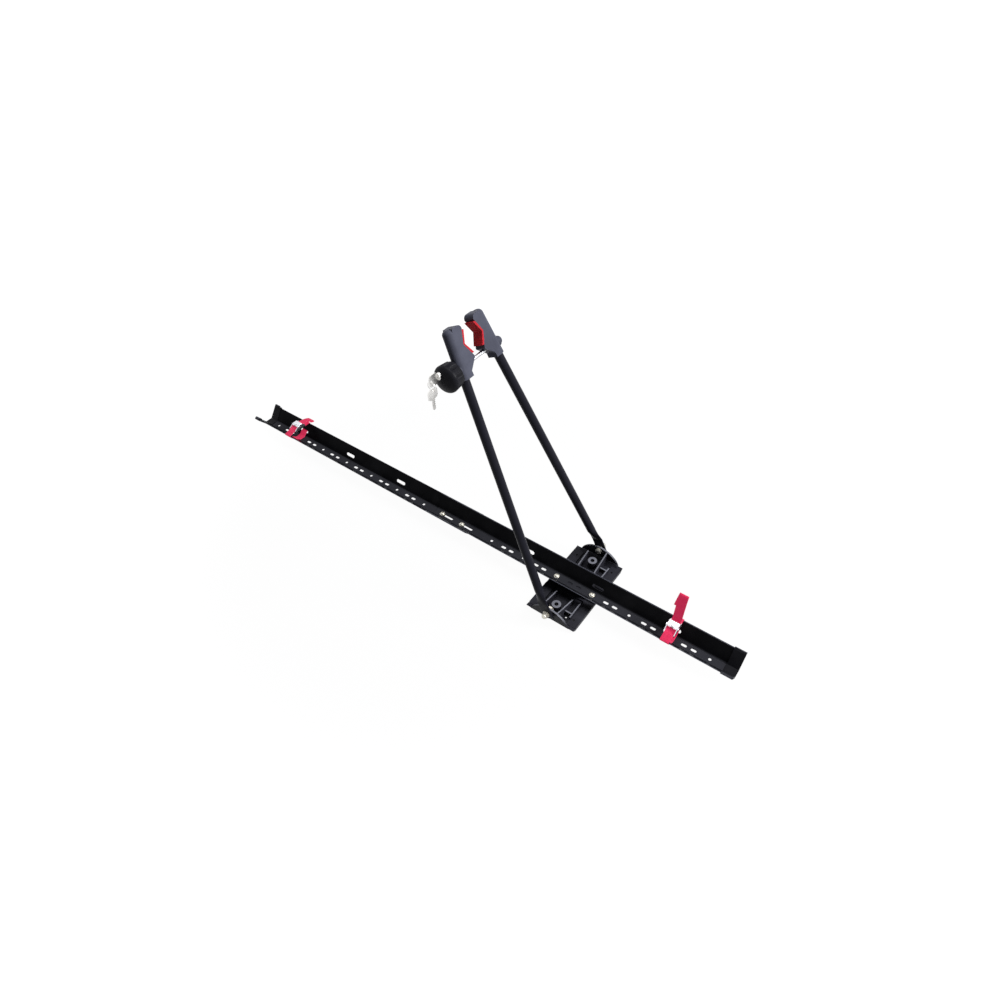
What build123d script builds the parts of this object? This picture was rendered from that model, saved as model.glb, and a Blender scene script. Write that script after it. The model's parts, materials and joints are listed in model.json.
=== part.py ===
from build123d import *
from math import atan2, cos, hypot, pi, radians, sin, sqrt, tan
import os

# Upright bicycle carrier for a car roof: a two-piece wheel channel on a moulded foot, two folding
# arms with clamp jaws, a threaded rod with a lockable knob, and two wheel straps with cam buckles.
# Millimetres. The origin is the middle of the foot's underside, where it sits on the crossbar.
# +X runs along the channel towards its front end, +Y across it to the far arm, +Z is up.

os.makedirs("parts", exist_ok=True)

overrun = 5.0  # how far a cut runs past the face it opens

# Wheel channel, pressed from sheet steel in two pieces that nest
gauge = 1.5
channel_top = 69.2
channel_floor = 19.0
channel_depth = 31.1
channel_bend = 4.0
nest_gap = 0.1
front_channel_back = -422.0
front_channel_front = 386.0
rear_channel_back = -1077.0
rear_channel_front = -292.0

# Holes along the channel's floor
hole_pitch = 95.0
pair_spacing = 22.2
pair_slot_long = 13.0
pair_slot_wide = 6.5
floor_hole = 6.8
front_first_hole = -241.0
front_hole_count = 7
rear_first_hole = -1032.5
rear_hole_count = 7
adjust_slot_long = 43.0
adjust_slot_wide = 6.6
adjust_slot_centres = (-386.5, -323.5)

# Strap slots in both walls
wall_slot_long = 29.5
wall_slot_wide = 8.0
wall_slot_height = 10.5
wall_slot_pitch = 190.0
front_strap_x = 238.0
rear_strap_x = -939.0
wall_slot_count = 3

# End caps
cap_wall = 1.8
cap_length = 26.0
cap_end_web = 2.0
cap_gap = 0.1

# Foot, a ribbed moulding with a domed flange for each arm
foot_long = 124.0
foot_wide = 196.0
foot_seat = 7.0
foot_web = 4.0
foot_rim = 3.0
foot_pad_top = 8.5
foot_pad_long = 24.0
foot_saddle_wide = 50.0
foot_corner = 4.0
flange_outer = 108.5
flange_wall = 4.0
flange_radius = 54.0
flange_centre_drop = 11.5
flange_shoulder = 14.0
notch_radius = 9.0
notch_places = (-38.0, 0.0, 38.0)
rib_wall = 3.0
rib_places = (-24.0, 19.0, 38.0)
rib_inner = 40.0
rib_low = 15.0
rib_high_shares = (0.75, 0.95, 0.52)
rib_reach_shares = (0.8, 1.0, 0.66)
boss_y = 76.0
boss_x = -2.0
boss_radius = 10.5
boss_bore = 4.75
boss_top = 24.0
cross_rib_y = 74.0
cross_rib_top = 16.0
small_hole = 2.6
small_hole_places = (27.0, 47.0)
small_hole_y = 81.0

# Screws, M6 button heads and flange nuts
screw = 6.0
screw_head = 10.5
screw_head_high = 3.3
screw_socket = 4.0
screw_washer = 13.0
screw_washer_thick = 1.2
screw_fit = 0.3
nut_flats = 10.0
nut_high = 5.0
nut_flange = 13.5
nut_flange_thick = 1.0
joint_nut_high = 4.4
nut_fit = 0.15
foot_screw_places = (-51.0, 44.0)
joint_screw_shift = -13.1

# Arms, leaning back from a pivot on each flange and towards each other
pivot_x = -2.0
pivot_z = 32.5
arm_lean = 25.7
arm_stand_off = 4.6  # from the flange to the middle of the arm's pressed end
arm_spread_at_rod = 49.2
arm_to_rod = 560.5
tube = 19.0
tube_wall = 1.6
tube_past_rod = 60.0
flat_thick = 4.4
flat_room = 5.0
flat_wide = 27.0
flat_below = 13.5
flat_above = 27.0
flat_blend = 34.0

# Pivot bolts, M8
bolt = 8.0
bolt_hole = 8.7
bolt_head_flats = 13.0
bolt_head_high = 5.3
pivot_washer = 20.0
pivot_washer_thick = 1.7
bolt_washer = 16.0
bolt_washer_thick = 1.4
bolt_fit = 0.05
cap_nut_flats = 13.0
cap_nut_collar = 6.5
cap_nut_dome = 5.9
cap_nut_high = 12.0
cap_nut_skin = 2.5
seat_gap = 0.1

# Jaws, in the plane of the arms: across from the middle, and along the arm from the rod
jaw_thick = 25.0
jaw_socket_low = -22.0
jaw_socket_in = 36.4
jaw_socket_step = -12.5
jaw_nose_in = 14.8
jaw_nose_at = 7.2
jaw_seat_low_in = 18.2
jaw_seat_low_at = 14.6
jaw_seat_mid_in = 29.6
jaw_seat_mid_at = 37.6
jaw_seat_high_in = 19.4
jaw_seat_high_at = 61.4
jaw_top_in = 17.6
jaw_top_at = 74.0
jaw_top_round = 9.0
jaw_nose_round = 2.0
jaw_seat_round = 4.0
jaw_boss = 11.0
jaw_boss_out = 63.4
tube_fit = 0.05
pad_thick = 3.9
pad_gap = 0.05
rod_slot_travel = 1.8
rod_fit = 0.3

# Clamp rod and knob
rod = 8.0
rod_far_end = 71.0
rod_near_end = 84.0
rod_nut_radius = 8.6
rod_nut_out = 8.4
rod_nut_collar = 3.0
thrust_washer = 22.0
thrust_washer_thick = 2.0
knob_gap = 0.3
knob_radius = 28.5
knob_back_radius = 25.5
knob_neck_radius = 15.0
knob_neck = 3.0
knob_front = 104.0
knob_crown = 45.0
knob_rim_round = 10.0
flute_count = 8
flute_radius = 7.5
flute_ring = 32.0
flute_front = 84.0
insert_radius = 8.0
insert_long = 12.0
insert_back = 0.4
rod_room = 4.7
rod_room_end = 97.5

# Lock, keys and ring
lock_dx = -7.0
lock_dz = 11.9
lock_radius = 6.4
lock_fit = 0.05
lock_back = 79.6
lock_front = 104.6
lock_lip = 7.2
lock_lip_thick = 1.4
plug_radius = 4.3
plug_back = 80.4
plug_front = 105.0
key_thick = 2.0
key_fit = 0.1
key_blade_high = 7.0
key_blade_long = 25.0
key_bow_wide = 22.0
key_bow_high = 25.0
key_bow_round = 7.0
key_hole = 2.6
key_hole_out = 6.0
key_tip = 3.0
key_notch_shares = (0.22, 0.4, 0.58, 0.76)
key_notch_deep = 1.3
key_groove = 0.5
ring_radius = 9.0
ring_wire = 0.8
ring_seat = 0.1

# Cam buckles
buckle_wide = 25.0
buckle_long = 36.0
buckle_plate_long = 17.5
buckle_sheet = 1.5
buckle_cheek = 13.5
buckle_cheek_shares = ((0, 0), (1, 0), (1, 0.5), (0.76, 1), (0.42, 1), (0, 0.3))
buckle_back = -17.5
buckle_lift = 33.1
buckle_pin = 4.0
buckle_pin_y = -1.0
buckle_bar = 4.0
buckle_bar_y = 15.5
buckle_bar_rise = 2.0
cam_hub = 4.3
cam_nose = 5.6
cam_nose_angle = 28.0
cam_tooth_count = 4
cam_tooth = 0.7
lever_length = 11.5
lever_thick = 2.0
lever_lip = 3.0
lever_tilt = 16.0
lever_side_gap = 0.4
lever_spring_gap = 6.5
spring_wire = 0.8
spring_turns = 4
spring_radius = 2.9

# Webbing
web_wide = 20.6
web_thick = 1.4
web_gap = 0.3
web_turn = 3.0
sewn_long = 11.0
sewn_from = 8.0
tail_climb = 3.8
tail_reach = 3.7
tail_y = 18.0
tail_height = 77.0
tail_lean = 9.0
tail_sway_share = 0.3
tail_fold = 7.0
tail_return = 48.0
rear_tail_rise = 12.0
rear_tail_far = 30.0
rear_tail_peak = 32.0
rear_tail_fold = 6.0
rear_tail_drop = 16.0

# Values worked out from the ones above
wall_run = (channel_top - channel_floor) / 2
wall_length = hypot(wall_run, channel_depth)
wall_cos = wall_run / wall_length
wall_sin = channel_depth / wall_length
floor_top = foot_seat + gauge
rear_offset = gauge + nest_gap
arm_spread = flange_outer + arm_stand_off
arm_across = sin(radians(arm_lean))
arm_up = cos(radians(arm_lean))
arm_slope = (arm_spread - arm_spread_at_rod) / arm_to_rod
rod_x = pivot_x - arm_across * arm_to_rod
rod_z = pivot_z + arm_up * arm_to_rod
knob_back = jaw_boss_out + 2 * knob_gap + thrust_washer_thick
lock_x = rod_x + lock_dx
lock_z = rod_z + lock_dz


def mirror_y(shape):
    """The same piece on the other side of the channel."""
    return shape.mirror(Plane.XZ)


def along_y(x, y, z, radius, length):
    """A round bar from (x, y, z) towards +Y."""
    return Pos(x, y, z) * Rot(-90, 0, 0) * Cylinder(
        radius, length, align=(Align.CENTER, Align.CENTER, Align.MIN)
    )


def along_z(x, y, z, radius, length):
    """A round bar from (x, y, z) upwards."""
    return Pos(x, y, z) * Cylinder(radius, length, align=(Align.CENTER, Align.CENTER, Align.MIN))


def hexagon_along_y(x, y, z, flats, length):
    """A hexagonal prism from (x, y, z) towards +Y."""
    face = Plane(origin=(x, y, z), x_dir=(1, 0, 0), z_dir=(0, 1, 0)) * RegularPolygon(
        flats / 2, 6, major_radius=False
    )
    return extrude(face, length)


def hexagon_along_z(x, y, z, flats, length):
    """A hexagonal prism from (x, y, z) upwards."""
    return extrude(Pos(x, y, z) * RegularPolygon(flats / 2, 6, major_radius=False), length)


# Wheel channel


def channel_point(corner, offset, past=0.0):
    """A point of the channel's section, moved out from its inner face by offset.

    Corner 0 is the floor's edge and corner 1 is the wall's top, run on by past.
    """
    turn = atan2(channel_depth, wall_run)
    if corner == 0:
        return (channel_floor / 2 + offset * tan(turn / 2), floor_top - offset)
    y = channel_top / 2 + offset * wall_sin + past * wall_cos
    z = floor_top + channel_depth - offset * wall_cos + past * wall_sin
    return (y, z)


def channel_line(offset, past):
    """The channel's section line at an offset, from wall top to wall top."""
    high = channel_point(1, offset, past)
    low = channel_point(0, offset)
    points = [(-high[0], high[1]), (-low[0], low[1]), low, high]
    return FilletPolyline(*points, radius=channel_bend + offset)


def channel_section(inner, outer, past=0.0):
    """The flat section between two offsets of the channel's inner face."""
    inside = channel_line(inner, past)
    outside = channel_line(outer, past)
    ends = [Line(inside @ 0, outside @ 0), Line(inside @ 1, outside @ 1)]
    return make_face([inside, outside, *ends])


def channel_length(section, back, front):
    """The section as a length of channel from one X to another."""
    plane = Plane(origin=(back, 0, 0), x_dir=(0, 1, 0), z_dir=(1, 0, 0))
    return extrude(plane * section, front - back)


def floor_cut(x, shape):
    """A cut down through both channel floors at x."""
    low = Pos(x, 0, foot_seat - 2 * gauge - nest_gap - overrun) * shape
    return extrude(low, 2 * gauge + nest_gap + 2 * overrun)


def wall_cut(x, side):
    """A strap slot through one wall."""
    along = wall_slot_height / wall_sin
    y = channel_floor / 2 + along * wall_cos
    z = floor_top + along * wall_sin
    plane = Plane(
        origin=(x, side * y, z), x_dir=(1, 0, 0), z_dir=(0, side * wall_sin, -wall_cos)
    )
    slot = plane * SlotOverall(wall_slot_long, wall_slot_wide)
    return extrude(slot, overrun, both=True)


def floor_cuts(first_hole, hole_count):
    """The round holes, and the pairs of short slots half a pitch after each but the last."""
    cuts = []
    for index in range(hole_count):
        x = first_hole + index * hole_pitch
        cuts.append(floor_cut(x, Circle(floor_hole / 2)))
        if index < hole_count - 1:
            for side in (-1, 1):
                centre = x + hole_pitch / 2 + side * pair_spacing / 2
                cuts.append(floor_cut(centre, SlotOverall(pair_slot_long, pair_slot_wide)))
    return cuts


def wall_cuts(strap_x, direction):
    """The strap slots of one channel piece, from its strap towards its other end."""
    places = [strap_x + direction * index * wall_slot_pitch for index in range(wall_slot_count)]
    return [wall_cut(x, side) for x in places for side in (-1, 1)]


def adjust_cuts():
    """The long slots that the two channel pieces share."""
    slot = SlotOverall(adjust_slot_long, adjust_slot_wide)
    return [floor_cut(x, slot) for x in adjust_slot_centres]


def front_channel():
    body = channel_length(channel_section(0, gauge), front_channel_back, front_channel_front)
    cuts = floor_cuts(front_first_hole, front_hole_count) + wall_cuts(front_strap_x, -1)
    cuts += [floor_cut(x, Circle(floor_hole / 2)) for x in foot_screw_places]
    return body - cuts - adjust_cuts()


def rear_channel():
    section = channel_section(rear_offset, rear_offset + gauge)
    body = channel_length(section, rear_channel_back, rear_channel_front)
    cuts = floor_cuts(rear_first_hole, rear_hole_count) + wall_cuts(rear_strap_x, 1)
    return body - cuts - adjust_cuts()


def end_cap(inner, end_x, inward):
    """A plastic sleeve over a channel end, open along the channel."""
    outer = inner + gauge
    shell = channel_section(inner - cap_wall, outer + cap_wall, cap_wall)
    room = channel_section(inner - cap_gap, outer + cap_gap, cap_gap)
    outside_x = end_x - inward * (cap_end_web + cap_gap)
    inside_x = outside_x + inward * cap_length
    low, high = sorted((outside_x, inside_x))
    body = channel_length(shell, low, high)
    body = body - channel_length(room, *sorted((end_x - inward * cap_gap, inside_x + inward * overrun)))
    rim = body.faces().sort_by(Axis.X)[0 if inward > 0 else -1]
    return chamfer(rim.outer_wire().edges(), cap_wall / 3)


# Screws


def button_screw(x, top, tip):
    """A socket button head on a surface at height top, and its shank down to tip."""
    head = along_z(x, 0, top, screw_head / 2, screw_head_high)
    head = fillet(head.edges().sort_by(Axis.Z)[-1], screw_head_high * 0.8)
    head = head - hexagon_along_z(x, 0, top + screw_head_high / 3, screw_socket, overrun)
    shank = along_z(x, 0, tip, screw / 2, top - tip)
    return head + chamfer(shank.edges().sort_by(Axis.Z)[0], screw / 10)


def plain_washer(x, bottom):
    ring = along_z(x, 0, bottom, screw_washer / 2, screw_washer_thick)
    return ring - along_z(x, 0, bottom - overrun, (screw + screw_fit) / 2, 3 * overrun)


def flange_nut(x, top, high):
    """A nut that hangs below a surface at height top."""
    body = hexagon_along_z(x, 0, top - high, nut_flats, high)
    flange = along_z(x, 0, top - nut_flange_thick, nut_flange / 2, nut_flange_thick)
    return body + flange - along_z(x, 0, top - high - overrun, screw / 2, high + 2 * overrun)


def joint_places():
    return [x + joint_screw_shift + gauge / 2 for x in adjust_slot_centres]


# Foot


def foot_section(side):
    """The flange and its sloping shoulder, seen along X."""
    inner = flange_outer - flange_wall
    edge = foot_wide / 2
    points = [
        (edge - flange_wall, 0),
        (edge, 0),
        (flange_outer, flange_shoulder - foot_web),
        (flange_outer, flange_radius),
        (inner, flange_radius),
        (inner, flange_shoulder),
        (edge - flange_wall, foot_web),
    ]
    return make_face(Polyline(*[(side * y, z) for y, z in points], close=True))


def dome_band():
    """Everything inside the flange's domed outline, seen along Y."""
    reach = foot_wide
    band = along_y(0, -reach, -flange_centre_drop, flange_radius, 2 * reach)
    low = Box(foot_long, 2 * reach, foot_pad_top, align=(Align.CENTER, Align.CENTER, Align.MIN))
    return band + low


def foot_flange(side):
    plane = Plane(origin=(-foot_long / 2, 0, 0), x_dir=(0, 1, 0), z_dir=(1, 0, 0))
    wall = extrude(plane * foot_section(side), foot_long)
    wall = wall & dome_band()
    for x in notch_places:
        notch_y = side * (flange_outer + notch_radius / 2)
        low = along_z(x, notch_y, -overrun, notch_radius, flange_shoulder - flange_wall + overrun)
        wall = wall - low
    return wall


def foot_rib(side, index):
    """A gusset from the seat to the flange."""
    x = rib_places[index]
    reach = rib_inner + (flange_outer - flange_wall / 2 - rib_inner) * rib_reach_shares[index]
    half = abs(x) + rib_wall / 2
    dome = sqrt(flange_radius**2 - half**2) - flange_centre_drop
    high = dome * rib_high_shares[index]
    points = [(rib_inner, 0), (reach, 0), (reach, high), (rib_inner, rib_low)]
    outline = make_face(Polyline(*[(side * y, z + foot_web / 2) for y, z in points], close=True))
    plane = Plane(origin=(x - rib_wall / 2, 0, 0), x_dir=(0, 1, 0), z_dir=(1, 0, 0))
    rib = extrude(plane * outline, rib_wall)
    outside = Pos(0, side * (flange_outer + foot_wide / 2), 0) * Box(foot_long, foot_wide, foot_wide)
    return rib - outside - shoulder_space(side)


def shoulder_space(side):
    """The open space under the flange's shoulder."""
    edge = foot_wide / 2
    points = [
        (edge, -overrun),
        (edge, 0),
        (flange_outer, flange_shoulder - foot_web),
        (flange_outer + overrun, flange_shoulder - foot_web),
        (flange_outer + overrun, -overrun),
    ]
    plane = Plane(origin=(-foot_long, 0, 0), x_dir=(0, 1, 0), z_dir=(1, 0, 0))
    outline = Polyline(*[(side * y, z) for y, z in points], close=True)
    return extrude(plane * make_face(outline), 2 * foot_long)


def foot_side(side):
    """One half's flange, ribs, boss and cross rib."""
    parts = foot_flange(side)
    for index in range(len(rib_places)):
        parts = parts + foot_rib(side, index)
    parts = parts + along_z(boss_x, side * boss_y, 0, boss_radius, boss_top)
    cross_from = rib_places[1]
    cross_long = rib_places[2] - cross_from
    cross = Box(cross_long, rib_wall, cross_rib_top, align=(Align.MIN, Align.CENTER, Align.MIN))
    return parts + Pos(cross_from, side * cross_rib_y, 0) * cross


def foot():
    high = (Align.CENTER, Align.CENTER, Align.MIN)
    plate = Box(foot_long, foot_wide, foot_web, align=high)
    plate = plate + Box(foot_long, foot_saddle_wide, foot_seat, align=high)
    pad_x = (foot_long - foot_pad_long) / 2
    for end in (-1, 1):
        for side in (-1, 1):
            pad_wide = (foot_wide - foot_saddle_wide) / 2
            pad = Box(foot_pad_long, pad_wide, foot_pad_top, align=high)
            plate = plate + Pos(end * pad_x, side * (foot_saddle_wide + pad_wide) / 2, 0) * pad
    body = plate + foot_side(1) + foot_side(-1)
    body = fillet(body.edges().filter_by(Axis.Z).group_by(Axis.X)[0], foot_corner)
    body = fillet(body.edges().filter_by(Axis.Z).group_by(Axis.X)[-1], foot_corner)
    for side in (-1, 1):
        body = body - along_z(boss_x, side * boss_y, -overrun, boss_bore, boss_top + 2 * overrun)
        for x in small_hole_places:
            for end in (-1, 1):
                place = (end * x, side * small_hole_y, -overrun)
                body = body - along_z(*place, small_hole, foot_pad_top + 2 * overrun)
        bore_y = side * flange_outer - (side + 1) * overrun
        body = body - along_y(pivot_x, bore_y - overrun, pivot_z, bolt / 2 + bolt_fit, 4 * overrun)
    for x in foot_screw_places:
        body = body - along_z(x, 0, -overrun, (screw + screw_fit) / 2, foot_seat + 2 * overrun)
        body = body - hexagon_along_z(x, 0, -overrun, nut_flats + 2 * nut_fit, overrun + nut_high)
    return body


def foot_nut(x):
    body = hexagon_along_z(x, 0, 0, nut_flats, nut_high - nut_fit)
    return body - along_z(x, 0, -overrun, screw / 2, nut_high + 2 * overrun)


# Arms and jaws


def arm_plane(side):
    """The plane of the arms: x across towards one side, y up along the arms from the pivots."""
    return Plane(
        origin=(pivot_x, 0, pivot_z),
        x_dir=(0, side, 0),
        z_dir=(side * arm_up, 0, side * arm_across),
    )


def tube_line(side, along):
    """A plane square to the arm's tube, at a distance along the arms from the pivots."""
    across = arm_spread - arm_slope * along
    x = pivot_x - arm_across * along
    z = pivot_z + arm_up * along
    direction = Vector(-arm_across, -side * arm_slope, arm_up)
    return Plane(origin=(x, side * across, z), x_dir=(arm_up, 0, arm_across), z_dir=direction)


def tube_length(side, radius, low, high):
    """A round bar on the arm's axis between two distances from the pivots."""
    run = (high - low) * hypot(1, arm_slope)
    return extrude(tube_line(side, low) * Circle(radius), run)


def flat_line(side, along):
    """A plane across the arm's pressed end, which stands parallel to the flange."""
    x = pivot_x - arm_across * along
    z = pivot_z + arm_up * along
    direction = (-arm_across, 0, arm_up)
    return Plane(origin=(x, side * arm_spread, z), x_dir=(arm_up, 0, arm_across), z_dir=direction)


def flat_end(side):
    """The pressed end of the tube, rounding out into it."""
    flat = RectangleRounded(flat_wide, flat_thick, flat_thick / 2.05)
    blade = extrude(flat_line(side, -flat_below) * flat, flat_below + flat_above)
    circle = tube_line(side, flat_above + flat_blend) * Circle(tube / 2)
    return blade + loft([flat_line(side, flat_above) * flat, circle])


def rod_cut(side, travel):
    """The rod's way through an arm, a slot where the arm can lean."""
    width = rod + 2 * rod_fit
    plane = Plane(
        origin=(rod_x, 0, rod_z), x_dir=(-arm_across, 0, arm_up), z_dir=(0, side, 0)
    )
    if travel > 0:
        return extrude(plane * SlotOverall(width + 2 * travel, width), arm_spread)
    return extrude(plane * Circle(rod / 2 + bolt_fit), arm_spread)


def arm_tube(side, travel):
    top = arm_to_rod + tube_past_rod
    start = flat_above + flat_blend
    body = tube_length(side, tube / 2, start, top) + flat_end(side)
    body = body - tube_length(side, tube / 2 - tube_wall, start - overrun, top + overrun)
    hole_y = side * arm_spread - 2 * overrun
    body = body - along_y(pivot_x, hole_y, pivot_z, bolt_hole / 2, 4 * overrun)
    return body - rod_cut(side, travel)


def jaw_outline():
    """The jaw's flat body, from the tube's axis to the seat of its lining."""
    low = arm_to_rod + jaw_socket_low
    high = arm_to_rod + jaw_top_at
    points = [
        (arm_spread - arm_slope * low, low),
        (jaw_socket_in, low),
        (jaw_socket_in, arm_to_rod + jaw_socket_step),
        (jaw_nose_in, arm_to_rod + jaw_nose_at),
        (jaw_seat_low_in, arm_to_rod + jaw_seat_low_at),
        (jaw_seat_mid_in, arm_to_rod + jaw_seat_mid_at),
        (jaw_seat_high_in, arm_to_rod + jaw_seat_high_at),
        (jaw_top_in, high - jaw_top_round),
        (jaw_top_in + jaw_top_round, high),
        (arm_spread - arm_slope * high, high),
    ]
    corner = jaw_top_round * (1 - sqrt(0.5))
    edges = [Line(a, b) for a, b in zip(points[:7], points[1:8])]
    edges.append(ThreePointArc(points[7], (jaw_top_in + corner, high - corner), points[8]))
    edges.append(Line(points[8], points[9]))
    edges.append(Line(points[9], points[0]))
    return make_face(edges)


def jaw(side, travel):
    low = arm_to_rod + jaw_socket_low
    high = arm_to_rod + jaw_top_at
    outline = jaw_outline()
    valley = (jaw_seat_mid_in, arm_to_rod + jaw_seat_mid_at, 0)
    outline = fillet(outline.vertices().sort_by_distance(valley)[0], jaw_seat_round)
    nose = (jaw_nose_in, arm_to_rod + jaw_nose_at, 0)
    outline = fillet(outline.vertices().sort_by_distance(nose)[0], jaw_nose_round)
    plate = extrude(arm_plane(side) * outline, jaw_thick / 2, both=True)
    sleeve = tube_length(side, jaw_thick / 2, low, high)
    sleeve = fillet(sleeve.edges().sort_by(Axis.Z)[-1], jaw_top_round)
    body = plate + sleeve
    boss_y_low = min(side * arm_spread_at_rod, side * jaw_boss_out)
    body = body + along_y(rod_x, boss_y_low, rod_z, jaw_boss, jaw_boss_out - arm_spread_at_rod)
    body = body - tube_length(side, tube / 2 + tube_fit, low - overrun, arm_to_rod + tube_past_rod + tube_fit)
    return body - rod_cut(side, travel)


def pad_outline():
    """The lining: a V that follows the jaw's seat, with a lip over each end."""
    seat = [
        (jaw_seat_high_in, jaw_seat_high_at),
        (jaw_seat_mid_in, jaw_seat_mid_at),
        (jaw_seat_low_in, jaw_seat_low_at),
    ]
    gap_in = [(x - pad_gap, arm_to_rod + y) for x, y in seat]
    face = [(x - pad_thick, y) for x, y in gap_in]
    high_tip = (face[0][0] - pad_thick / 4, face[0][1] + pad_gap)
    low_tip = (face[2][0] - pad_thick / 3, face[2][1] - pad_gap)
    points = [gap_in[0], gap_in[1], gap_in[2], low_tip, face[1], high_tip]
    outline = make_face(Polyline(*points, close=True))
    for corner, radius in ((gap_in[1], jaw_seat_round + pad_gap), (face[1], jaw_seat_round / 2)):
        outline = fillet(outline.vertices().sort_by_distance((*corner, 0))[0], radius)
    return outline


def jaw_pad(side):
    return extrude(arm_plane(side) * pad_outline(), jaw_thick / 2, both=True)


# Pivots


def pivot_bolt(side):
    """Hexagon head inside the flange, shank out through the arm."""
    head_y = flange_outer - flange_wall - bolt_washer_thick - seat_gap
    tip_y = arm_spread + flat_room / 2 + bolt_washer_thick + cap_nut_high - cap_nut_skin
    head = hexagon_along_y(pivot_x, head_y - bolt_head_high, pivot_z, bolt_head_flats, bolt_head_high)
    shank = along_y(pivot_x, head_y, pivot_z, bolt / 2, tip_y - head_y)
    body = head + shank
    return body if side > 0 else mirror_y(body)


def pivot_washers(side):
    """One under the head, a wide one between flange and arm, one under the nut."""
    places = [
        (flange_outer - flange_wall - bolt_washer_thick - seat_gap / 2, bolt_washer, bolt_washer_thick),
        (flange_outer + seat_gap, pivot_washer, pivot_washer_thick),
        (arm_spread + flat_room / 2 + seat_gap, bolt_washer, bolt_washer_thick),
    ]
    rings = []
    for y, wide, thick in places:
        ring = along_y(pivot_x, y, pivot_z, wide / 2, thick)
        ring = ring - along_y(pivot_x, y - overrun, pivot_z, bolt / 2 + bolt_fit, 3 * overrun)
        rings.append(ring if side > 0 else mirror_y(ring))
    return Compound(children=rings)


def cap_nut(side):
    """The domed nut on a pivot bolt."""
    y = arm_spread + flat_room / 2 + bolt_washer_thick + 2 * seat_gap
    hexagon = hexagon_along_y(pivot_x, y, pivot_z, cap_nut_flats, cap_nut_collar)
    dome = along_y(pivot_x, y, pivot_z, cap_nut_dome, cap_nut_high)
    dome = fillet(dome.edges().sort_by(Axis.Y)[-1], cap_nut_dome * 0.9)
    body = hexagon + dome
    depth = cap_nut_high - cap_nut_skin + overrun
    body = body - along_y(pivot_x, y - overrun, pivot_z, bolt / 2, depth)
    return body if side > 0 else mirror_y(body)


# Clamp rod and knob


def clamp_rod():
    """The rod through both jaws, threaded at its near end for the knob."""
    body = along_y(rod_x, -rod_near_end, rod_z, rod / 2, rod_near_end + rod_far_end)
    return chamfer(body.edges().group_by(Axis.Y)[0], rod / 10)


def rod_cap_nut():
    """The round cap nut on the far jaw."""
    start = jaw_boss_out + seat_gap
    body = along_y(rod_x, start, rod_z, rod_nut_radius, rod_nut_out)
    body = fillet(body.edges().sort_by(Axis.Y)[-1], rod_nut_out - rod_nut_collar)
    deep = overrun + rod_far_end - start
    return body - along_y(rod_x, start - overrun, rod_z, rod / 2 + bolt_fit, deep)


def thrust_ring():
    start = -(jaw_boss_out + knob_gap + thrust_washer_thick)
    ring = along_y(rod_x, start, rod_z, thrust_washer / 2, thrust_washer_thick)
    return ring - along_y(rod_x, start - overrun, rod_z, rod / 2 + bolt_fit, 3 * overrun)


def knob_profile():
    """Half of the knob's section: x out from its axis, y towards its front."""
    centre = knob_front - knob_crown
    rim = (knob_radius, centre + sqrt(knob_crown**2 - knob_radius**2))
    half = knob_radius / 2
    crown = (half, centre + sqrt(knob_crown**2 - half**2))
    edges = [
        Line((0, knob_back), (knob_neck_radius, knob_back)),
        Line((knob_neck_radius, knob_back), (knob_back_radius, knob_back + knob_neck)),
        Line((knob_back_radius, knob_back + knob_neck), rim),
        ThreePointArc(rim, crown, (0, knob_front)),
        Line((0, knob_front), (0, knob_back)),
    ]
    outline = make_face(edges)
    return fillet(outline.vertices().sort_by_distance((*rim, 0))[0], knob_rim_round)


def flute(index):
    """One finger groove, open at the back and round at its front end."""
    angle = 2 * pi * index / flute_count + pi / flute_count
    x = rod_x + flute_ring * cos(angle)
    z = rod_z + flute_ring * sin(angle)
    back = knob_back - overrun
    bend = flute_radius * sqrt(0.5)
    edges = [
        Line((0, back), (flute_radius, back)),
        Line((flute_radius, back), (flute_radius, flute_front)),
        ThreePointArc(
            (flute_radius, flute_front), (bend, flute_front + bend), (0, flute_front + flute_radius)
        ),
        Line((0, flute_front + flute_radius), (0, back)),
    ]
    radial = (cos(angle), 0, sin(angle))
    plane = Plane(origin=(x, 0, z), x_dir=radial, z_dir=(sin(angle), 0, -cos(angle)))
    return revolve(plane * make_face(edges), Axis((x, 0, z), (0, 1, 0)))


def knob():
    plane = Plane(origin=(rod_x, 0, rod_z), x_dir=(1, 0, 0), z_dir=(0, 0, -1))
    body = revolve(plane * knob_profile(), Axis((rod_x, 0, rod_z), (0, 1, 0)))
    for index in range(flute_count):
        body = body - flute(index)
    insert_end = knob_back + insert_back + insert_long
    body = body - along_y(rod_x, -insert_end, rod_z, insert_radius, insert_long + insert_back + overrun)
    body = body - along_y(rod_x, -rod_room_end, rod_z, rod_room, rod_room_end)
    room = lock_front - lock_back + overrun
    return body - along_y(lock_x, -lock_back - room, lock_z, lock_radius, room)


def knob_insert():
    """The threaded metal insert in the knob, with flats that stop it turning."""
    start = -(knob_back + insert_back + insert_long)
    body = along_y(rod_x, start, rod_z, insert_radius, insert_long)
    return body - along_y(rod_x, start - overrun, rod_z, rod / 2 + bolt_fit, insert_long + 2 * overrun)


# Lock and keys


def lock_barrel():
    long = lock_front - lock_back
    body = along_y(lock_x, -lock_front, lock_z, lock_radius - lock_fit, long)
    lip = along_y(lock_x, -lock_front - lock_lip_thick, lock_z, lock_lip, lock_lip_thick)
    body = body + chamfer(lip.edges().group_by(Axis.Y)[0], lock_lip_thick / 3)
    bore_long = lock_front - plug_back + lock_lip_thick + overrun
    return body - along_y(lock_x, -plug_back - bore_long, lock_z, plug_radius + lock_fit, bore_long)


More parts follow.
